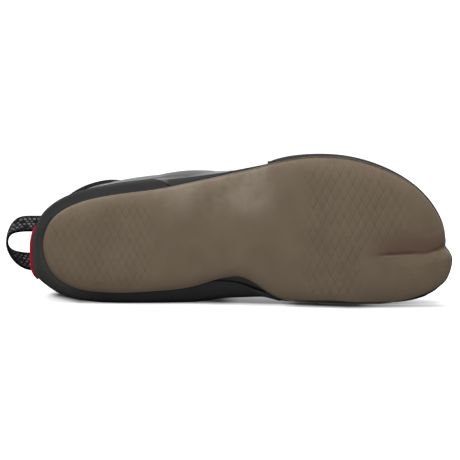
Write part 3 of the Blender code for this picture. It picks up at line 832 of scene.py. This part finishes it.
sole = makeSole()
for zone in treadZones:
    makeTread(sole, zone)
settle(sole, "outsole", "gum_rubber", soleRubber)

bandSettings = {
    "bevel": 0.35,
    "levels": 2,
    "reach": 2.8,
    "seat": 0.12,
    "heelMiddle": 1.0,
    "shoulder": {"by": 1.3, "share": 0.7, "rise": (4.0, 12.0), "end": (16.0, 34.0), "aside": (8.0, 24.0)},
    "tuck": {"by": 0.7, "start": (146.0, 160.0)},
    "sag": {"by": 1.4, "start": (120.0, 133.0), "end": (140.0, 156.0), "inner": (0.0, 16.0)},
    "flatBack": {"by": 1.1, "aside": (9.0, 24.0), "end": (6.0, 20.0), "rise": (2.0, 8.0)},
    "overlap": {"by": 1.3, "start": (146.0, 150.0)},
    # where the painted highlight lies at the seam
    "seamHighlight": (86.0, 87.4),
    "heelPale": {"share": 0.3, "end": (18.0, 44.0), "inner": (-14.0, 12.0)},
    # painted shade on what faces up towards the light
    "paintedTopShade": {"share": 0.4, "facing": (0.25, 0.75)},
}
bandPieces = [
    ("heel_rand", "heelBand", "black_rubber", randRubber),
    ("side_rand", "sideBand", "black_rubber", randRubber),
    ("toe_rand", "toeBand", "black_rubber", randRubber),
    ("heel_patch", "heelPatch", "red_rubber", patchRubber),
]


def seatOnSole(piece):
    # the band's lower edge is drawn on to the sole's edge, so that no gap shows between them
    points = readPoints(piece)
    for index, point in enumerate(points):
        hit, place, normal, face = sole.closest_point_on_mesh(Vector(point))
        apart = Vector(point) - place
        if apart.length < bandSettings["reach"] * mm:
            points[index] = place + apart.normalized() * bandSettings["seat"] * mm
    writePoints(piece, points)


def trimBand(node, points):
    # the heel is fuller on its two shoulders and flatter at the back, the heel band sags beside the
    # arch and tucks in at its inner end, and the side band runs on under the toe band
    along, across, rise = inBoot(points)
    if node.startswith("heel"):
        aside = across - bandSettings["heelMiddle"]
        shoulder, tuck = bandSettings["shoulder"], bandSettings["tuck"]
        sag, flatBack = bandSettings["sag"], bandSettings["flatBack"]
        full = shoulder["by"] * mm * ease(rise, *shoulder["rise"])
        full = full * (1 - ease(along, *shoulder["end"])) * ease(np.abs(aside), *shoulder["aside"])
        flat = (1 - ease(np.abs(aside), *flatBack["aside"])) * (1 - ease(along, *flatBack["end"]))
        low = ease(along, *sag["start"]) * (1 - ease(along, *sag["end"])) * ease(-across, *sag["inner"])
        points[:, 0] -= shoulder["share"] * full
        points[:, 0] += flatBack["by"] * mm * flat * ease(rise, *flatBack["rise"])
        points[:, 2] += shoulder["share"] * full * np.sign(aside)
        points[:, 2] += tuck["by"] * mm * ease(along, *tuck["start"])
        points[:, 2] -= sag["by"] * mm * low
    if node == "side_rand":
        overlap = bandSettings["overlap"]
        points[:, 0] += overlap["by"] * mm * ease(along, *overlap["start"])


def paintBand(node, piece):
    # a painted highlight where the side band meets the seam, paler low on the heel's inner side, and
    # painted shade darker on what faces up towards the light
    along, across, rise = inBoot(readPoints(piece))
    if node == "side_rand":
        # painted highlight on the side band's end at the seam
        paint(piece, "seamHighlightAndPale", 1 - ease(along, *bandSettings["seamHighlight"]))
    if node == "heel_rand":
        seamHighlightAndPale = bandSettings["heelPale"]
        under = (1 - ease(along, *seamHighlightAndPale["end"])) * ease(-across, *seamHighlightAndPale["inner"])
        paint(piece, "seamHighlightAndPale", seamHighlightAndPale["share"] * under)
    paintedTopShade = bandSettings["paintedTopShade"]
    # painted shade on what faces up towards the light
    paint(piece, "paintedTopShade", paintedTopShade["share"] * ease(readNormals(piece)[:, 2], *paintedTopShade["facing"]))


def makeBand(node, name, slot, material):
    piece = weldedCopy(node, name)
    points = readPoints(piece)
    trimBand(node, points)
    if node != "toe_rand":
        trimShape(points)
    writePoints(piece, points)
    if node.endswith("rand"):
        seatOnSole(piece)
    bevelEdges(piece, bandSettings["bevel"])
    subdivide(piece, bandSettings["levels"])
    points = readPoints(piece)
    if node == "toe_rand":
        trimShape(points)
    pressNotch(points)
    writePoints(piece, points)
    if node.endswith("rand"):
        paintBand(node, piece)
    smoothShade(piece, 70)
    settle(piece, node, slot, material)


for band in bandPieces:
    makeBand(*band)

upperSettings = {
    "levels": 2,
    "hemFrom": 136.6,
    "hemTilt": 0.02,
    "hemMiddle": 46.0,
    "collar": {"by": 0.8, "rise": (90.0, 130.0), "outer": (5.0, 28.0)},
    "collarFront": {"by": 0.7, "start": (38.0, 52.0), "end": (60.0, 76.0)},
}

# Soft folds: places along, across and rise on the skin, with depth and width of the trough.
folds = [
    {"path": [(92, 36, 108), (112, 24, 103), (121, 4, 100), (114, -20, 102)], "depth": 1.7, "width": 3.6},
    {"path": [(100, 38, 92), (122, 26, 88), (132, 4, 86), (124, -22, 88)], "depth": 1.5, "width": 3.8},
    {"path": [(128, 34, 70), (147, 20, 74), (153, 2, 74), (146, -20, 74)], "depth": 1.0, "width": 4.4},
    {"path": [(4, 4, 100), (14, 24, 96), (32, 34, 91), (50, 37, 88)], "depth": 1.3, "width": 3.6},
    {"path": [(4, -4, 84), (12, 22, 80), (28, 35, 76)], "depth": 1.0, "width": 3.6},
    {"path": [(186, 46, 38), (192, 26, 50), (194, 4, 53), (190, -22, 48)], "depth": 0.9, "width": 4.6},
    {"path": [(206, 44, 34), (213, 24, 46), (214, 2, 48), (208, -22, 44)], "depth": 0.8, "width": 4.6},
    {"path": [(112, -34, 36), (132, -33, 32), (150, -30, 30)], "depth": 0.8, "width": 3.0},
    {"path": [(82, 46, 44), (100, 47, 46), (118, 48, 42)], "depth": -1.4, "width": 9.0},
    {"path": [(66, 44, 33), (84, 45, 35), (108, 47, 33)], "depth": 0.6, "width": 2.2},
]
foldShape = {
    "steps": 60, "reach": 4, "facing": 0.2, "fade": 0.6, "ridge": 0.45, "ridgeAt": 1.7, "ridgeWidth": 0.8,
}


def curvedThrough(path, count):
    # a smooth line through a few places
    path = np.asarray(path, float)
    slopes = np.gradient(path, axis=0)
    places = np.linspace(0, len(path) - 1, count)
    low = np.clip(places.astype(int), 0, len(path) - 2)
    s = (places - low)[:, None]
    return (
        path[low] * (1 + 2 * s) * (1 - s) ** 2
        + path[low + 1] * s * s * (3 - 2 * s)
        + slopes[low] * s * (1 - s) ** 2
        + slopes[low + 1] * s * s * (s - 1)
    )


def pressFold(piece, points, normals, fold):
    # a trough along the fold's line, with a low ridge on either side
    path = curvedThrough(fold["path"], foldShape["steps"])
    line, lineNormals = onSurface(piece, inFrame(path[:, 0], path[:, 1], path[:, 2]))
    reach = foldShape["reach"] * fold["width"] * mm
    low, high = line.min(axis=0) - reach, line.max(axis=0) + reach
    near = np.where(np.all((points > low) & (points < high), axis=1))[0]
    apart = np.linalg.norm(points[near][:, None, :] - line[None, :, :], axis=2)
    nearest = apart.argmin(axis=1)
    distance = apart.min(axis=1) / (fold["width"] * mm)
    facing = np.einsum("ij,ij->i", normals[near], lineNormals[nearest]) > foldShape["facing"]
    share = nearest / (len(line) - 1)
    fade = np.sin(np.pi * np.clip(share, 0.0, 1.0)) ** foldShape["fade"]
    ridge = np.exp(-(((distance - foldShape["ridgeAt"]) / foldShape["ridgeWidth"]) ** 2))
    profile = foldShape["ridge"] * ridge - np.exp(-(distance**2))
    push = fold["depth"] * mm * profile * fade * facing
    points[near] += normals[near] * push[:, None]


def makeUpper():
    piece = weldedCopy("upper", "neopreneSock")
    subdivide(piece, upperSettings["levels"])
    points, normals = readPoints(piece), readNormals(piece)
    for fold in folds:
        pressFold(piece, points, normals, fold)
    along, across, rise = inBoot(points)
    collar, front = upperSettings["collar"], upperSettings["collarFront"]
    lower = front["by"] * ease(along, *front["start"]) * (1 - ease(along, *front["end"])) + collar["by"]
    points[:, 2] -= lower * mm * ease(rise, *collar["rise"]) * ease(across, *collar["outer"])
    trimShape(points)
    pressNotch(points)
    writePoints(piece, points)
    smoothShade(piece, 60)
    settle(piece, "upper", "neoprene", neoprene, lining, hemTape)
    return piece


# The hollow's middle: along by rise in the leg, a level line in the foot.
hollow = {
    "rise": (0, 30, 60, 90, 150), "along": (130, 130, 85, 60, 46), "across": 3.0,
    "footTop": 60, "footDepth": 25, "footAlong": (40, 235), "footRise": 24,
}


def lineUpper(piece):
    # faces that look towards the hollow's middle take the lining, and those above the hem's step the tape
    centres, facing = [readVectors(piece.data.polygons, name) for name in ("center", "normal")]
    along, across, rise = inBoot(centres)
    inFoot = np.clip((hollow["footTop"] - rise) / hollow["footDepth"], 0, 1)
    axisAlong = np.interp(rise, hollow["rise"], hollow["along"]) * (1 - inFoot)
    axisAlong += np.clip(along, *hollow["footAlong"]) * inFoot
    axisRise = rise * (1 - inFoot) + hollow["footRise"] * inFoot
    middle = inFrame(axisAlong, hollow["across"], axisRise)
    inward = np.einsum("ij,ij->i", facing, middle - centres) > 0
    hemEdge = upperSettings["hemFrom"] + (along - upperSettings["hemMiddle"]) * upperSettings["hemTilt"]
    hem = rise > hemEdge
    piece.data.polygons.foreach_set("material_index", np.where(hem, 2, inward).astype(np.int32))
    piece.data.update()


upper = makeUpper()
lineUpper(upper)

hemStitch = {
    "rows": (3.0, 6.2), "pitch": 3.9, "length": 2.9, "radius": 0.32, "sides": 6,
    "profile": ((0.0, 0.1), (0.15, 0.8), (0.5, 1.0), (0.85, 0.8), (1.0, 0.1)),
}


def makeHemStitches():
    # two rows of thread round the collar's hem
    tilt = upperSettings["hemTilt"]
    allPoints, allFaces = [], []
    sides = hemStitch["sides"]
    turns = np.linspace(0, 2 * math.pi, sides, endpoint=False)
    profile = hemStitch["profile"]
    for row in hemStitch["rows"]:
        start = inFrame(upperSettings["hemMiddle"], 0.0, upperSettings["hemFrom"] + row)
        line = alongLine(sectionLine(upper, start, (-tilt, 1.0, 0.0)), hemStitch["pitch"] * mm)
        places, normals = onSurface(upper, line)
        for place, ahead, normal in zip(places[:-1], places[1:], normals[:-1]):
            way = (ahead - place) / np.linalg.norm(ahead - place)
            aside = np.cross(normal, way)
            first = len(allPoints)
            for share, swell in profile:
                middle = place + way * hemStitch["length"] * mm * share
                reach = hemStitch["radius"] * mm * swell
                for turn in turns:
                    allPoints.append(middle + reach * (math.cos(turn) * aside + math.sin(turn) * normal))
            allFaces += ringFaces(len(profile), sides, first)
            allFaces.append(tuple(first + i for i in reversed(range(sides))))
            allFaces.append(tuple(first + (len(profile) - 1) * sides + i for i in range(sides)))
    piece = meshPiece("hemStitches", allPoints, allFaces)
    faceOutwards(piece)
    smoothShade(piece, 60)
    settle(piece, None, "webbing", thread)


makeHemStitches()

footbedSettings = {"bevel": 0.6, "levels": 2}


def makeFootbed():
    piece = weldedCopy("insole", "footbed")
    bevelEdges(piece, footbedSettings["bevel"])
    subdivide(piece, footbedSettings["levels"])
    smoothShade(piece, 60)
    settle(piece, "insole", "footbed", footbedCloth)


makeFootbed()

loopSettings = {
    "leg": 10.5,
    "bow": 17.7,
    "square": 0.6,
    "halfSpan": 13.1,
    "bowAlong": -7.5,
    "centreAcross": -1.3,
    "centreRise": 58.0,
    "width": 16.0,
    "thickness": 1.7,
    "bevel": 0.4,
    "lean": (42.0, 36.0),
    "rake": 6.0,
    "steps": (90, 12),
    "pathSteps": (19, 121),
}


def loopPath(share):
    # legs and a rounded bow, by length: along, across and lean for a share from 0 to 1
    loop = loopSettings
    legSteps, bowSteps = loop["pathSteps"]
    turn = np.radians(np.linspace(-90, 90, bowSteps))
    leg = np.linspace(1, 0, legSteps, endpoint=False) * loop["leg"]
    bow = np.cos(turn) ** np.where(turn > 0, loop["square"], 1.0)
    along = np.concatenate([leg, -loop["bow"] * bow, leg[::-1]]) + loop["bowAlong"]
    side = np.full_like(leg, loop["halfSpan"])
    across = np.concatenate([-side, loop["halfSpan"] * np.sin(turn), side]) + loop["centreAcross"]
    full = np.ones_like(leg)
    low, high = np.radians(loop["lean"])
    twist = np.where(turn > 0, high, low) * np.sin(turn) ** 2
    lean = np.concatenate([low * full, twist, high * full])
    run = np.concatenate([[0], np.cumsum(np.hypot(np.diff(along), np.diff(across)))])
    return [np.interp(share, run / run[-1], values) for values in (along, across, lean)]


def makeLoop():
    stepsAlong, stepsAcross = loopSettings["steps"]
    bpy.ops.object.select_all(action="DESELECT")
    bpy.ops.mesh.primitive_grid_add(
        x_subdivisions=stepsAlong, y_subdivisions=stepsAcross, size=2, calc_uvs=True
    )
    piece = bpy.context.object
    piece.name = piece.data.name = "pullLoop"
    flat = readPoints(piece)
    along, across, lean = loopPath((flat[:, 0] + 1) / 2)
    width = flat[:, 1] / 2 * loopSettings["width"]
    points = inFrame(
        along - width * math.sin(math.radians(loopSettings["rake"])),
        across + width * np.sin(lean),
        loopSettings["centreRise"] + width * np.cos(lean),
    )
    writePoints(piece, points)
    modify(piece, "SOLIDIFY", thickness=loopSettings["thickness"] * mm, offset=0.0)
    bevelEdges(piece, loopSettings["bevel"])
    smoothShade(piece, 50)
    settle(piece, "pull_loop", "webbing", webbing)


makeLoop()

stageSettings = {
    "floorSeen": (0.45, 0.45, 0.45, 1),
    "floorGlow": 0.42,
    "floorRoughness": 0.9,
    "shade": (
        (-0.1265, 0.0, 0.0, 0.0), (-0.1165, 0.93, 0.0, 0.0), (-0.105, 0.96, 0.0, 0.0),
        (-0.018, 0.96, 0.0, 0.0), (-0.003, 0.92, 0.3, 0.0), (0.0095, 0.48, 0.9, 0.0),
        (0.036, 0.47, 0.9, 0.0), (0.042, 0.72, 0.6, 0.5), (0.0475, 0.93, 0.1, 1.0),
        (0.0615, 0.98, 0.0, 1.0), (0.087, 0.97, 0.0, 1.0), (0.0995, 0.84, 0.8, 1.0),
        (0.116, 0.74, 1.0, 1.0), (0.125, 0.69, 1.0, 1.0), (0.138, 0.62, 1.0, 1.0),
        (0.146, 0.46, 1.0, 1.0), (0.157, 0.0, 1.0, 1.0),
    ),
    "shadeFront": ((-0.126, -0.098, -0.005, -0.058), (-0.03, 0.08, 0.0, -0.044)),
    "shadeFade": (0.02, 0.067),
    "shadeSoft": 0.014,
    "shadeBack": (0.0, 0.03),
    "shadeShort": (-0.066, -0.035),
    "floorBounce": (0.22, 0.22, 0.22, 1),
    "size": 60.0,
    "whiteCentre": (0.012, -0.01, 0.0),
    "whiteReach": (0.131, 0.11, 1.0),
    "whiteFrom": 0.8,
    "whiteTo": 1.15,
    "skySeen": 1.1,
    "skyLight": 0.45,
}
lightSettings = [
    {
        "name": "overhead", "place": (0.0, -0.2, 0.95), "aim": (0.0, -0.2, 0.0),
        "size": 1.0, "power": 18.0,
    },
    {
        "name": "front", "place": (-0.3, -1.5, 0.9), "aim": (0.0, 0.0, 0.05),
        "size": 0.9, "power": 9.0,
    },
]
cameraSettings = {
    "aim": (0.0029, -0.0761, 0.0495),
    "elevation": 3.5,
    "distance": 1.35,
    "lens": 159.84,
    "sensor": 36.0,
}


def contactShade(tree, place):
    # painted contact shadow: a soft dark strip on the paper under the boot: how dark it is along the
    # boot, how far it clears again towards the back, whether it stops short there, and where its front
    # ends
    split = tree.nodes.new("ShaderNodeSeparateXYZ")
    tree.links.new(place, split.inputs[0])
    here, depth = split.outputs["X"], split.outputs["Y"]
    first, last = stageSettings["shade"][0][0], stageSettings["shade"][-1][0]
    ramp = tree.nodes.new("ShaderNodeValToRGB")
    tree.links.new(ranged(tree, here, first, last, 0, 1), ramp.inputs[0])
    stops = ramp.color_ramp.elements
    while len(stops) < len(stageSettings["shade"]):
        stops.new(0.5)
    for stop, (at, dark, clears, short) in zip(stops, stageSettings["shade"]):
        stop.position = (at - first) / (last - first)
        stop.color = (dark, clears, short, 1)
    shares = tree.nodes.new("ShaderNodeSeparateColor")
    tree.links.new(ramp.outputs[0], shares.inputs[0])
    dark, clears, short = shares.outputs
    front = maths(tree, "ADD", *[ranged(tree, here, *edge) for edge in stageSettings["shadeFront"]])
    inside = maths(tree, "SUBTRACT", depth, front)
    soft = stageSettings["shadeSoft"]
    far, near = [ranged(tree, depth, *stageSettings[end], 1, 0) for end in ("shadeBack", "shadeShort")]
    back = ranged(tree, short, 0, 1, far, near)
    strip = maths(tree, "MULTIPLY", ranged(tree, inside, -soft, soft, 0, 1), back)
    cleared = maths(tree, "MULTIPLY", clears, ranged(tree, inside, *stageSettings["shadeFade"], 0, 1))
    strip = maths(tree, "MULTIPLY", strip, dark)
    return maths(tree, "MULTIPLY", strip, maths(tree, "SUBTRACT", 1, cleared))


def makeStage():
    bpy.ops.object.select_all(action="DESELECT")
    bpy.ops.mesh.primitive_plane_add(size=stageSettings["size"])
    floor = bpy.context.object
    floor.name = "floor"
    material, tree, shader = newMaterial("paleFloor", stageSettings["floorRoughness"], 0.0)
    rays = tree.nodes.new("ShaderNodeLightPath").outputs
    place = objectPlace(tree)
    shade = contactShade(tree, place)
    # the painted contact shadow darkens the paper's colour
    paper = mixed(tree, shade, stageSettings["floorSeen"], (0, 0, 0, 1))
    seen = mixed(tree, rays["Is Camera Ray"], stageSettings["floorBounce"], paper)
    tree.links.new(seen, shader.inputs["Base Color"])
    # the paper glows for the camera: away from the boot it is as white as the sky behind it, which hides
    # the real shadow there; near the boot the glow is dimmer, and the painted contact shadow darkens it
    for operation, setting in (("SUBTRACT", "whiteCentre"), ("DIVIDE", "whiteReach"), ("LENGTH", None)):
        away = tree.nodes.new("ShaderNodeVectorMath")
        away.operation = operation
        tree.links.new(place, away.inputs[0])
        if setting:
            away.inputs[1].default_value = stageSettings[setting]
        place = away.outputs[0]
    whiteRange = stageSettings["whiteFrom"], stageSettings["whiteTo"], stageSettings["floorGlow"], 1
    white = ranged(tree, away.outputs["Value"], *whiteRange)
    # the painted contact shadow darkens the glow too
    white = maths(tree, "MULTIPLY", white, maths(tree, "SUBTRACT", 1, shade))
    glow = maths(tree, "MULTIPLY", white, rays["Is Camera Ray"])
    tree.links.new(glow, shader.inputs["Emission Color"])
    shader.inputs["Emission Strength"].default_value = 1.0
    floor.data.materials.append(material)
    world = bpy.data.worlds.new("studio")
    world.use_nodes = True
    backdrop = world.node_tree.nodes["Background"]
    backdrop.inputs["Color"].default_value = (1, 1, 1, 1)
    rays = world.node_tree.nodes.new("ShaderNodeLightPath").outputs
    mirrored = maths(world.node_tree, "MAXIMUM", rays["Is Camera Ray"], rays["Is Glossy Ray"])
    skies = stageSettings["skyLight"], stageSettings["skySeen"]
    strength = ranged(world.node_tree, mirrored, 0, 1, *skies)
    world.node_tree.links.new(strength, backdrop.inputs["Strength"])
    bpy.context.scene.world = world
    bpy.context.scene.view_settings.view_transform = "Standard"


def makeLight(light):
    bpy.ops.object.light_add(type="AREA", location=light["place"])
    lamp = bpy.context.object
    lamp.name = light["name"]
    lamp.data.size = light["size"]
    lamp.data.energy = light["power"]
    toAim = Vector(light["aim"]) - Vector(light["place"])
    lamp.rotation_euler = toAim.to_track_quat("-Z", "Y").to_euler()


def makeCamera():
    lift = math.radians(cameraSettings["elevation"])
    forward = Vector((0, math.cos(lift), -math.sin(lift)))
    spot = Vector(cameraSettings["aim"]) - forward * cameraSettings["distance"]
    bpy.ops.object.camera_add(location=spot, rotation=forward.to_track_quat("-Z", "Y").to_euler())
    camera = bpy.context.object
    camera.data.sensor_width = cameraSettings["sensor"]
    camera.data.lens = cameraSettings["lens"]
    bpy.context.scene.camera = camera


makeStage()
for light in lightSettings:
    makeLight(light)
makeCamera()
print("stage, lights and camera set")
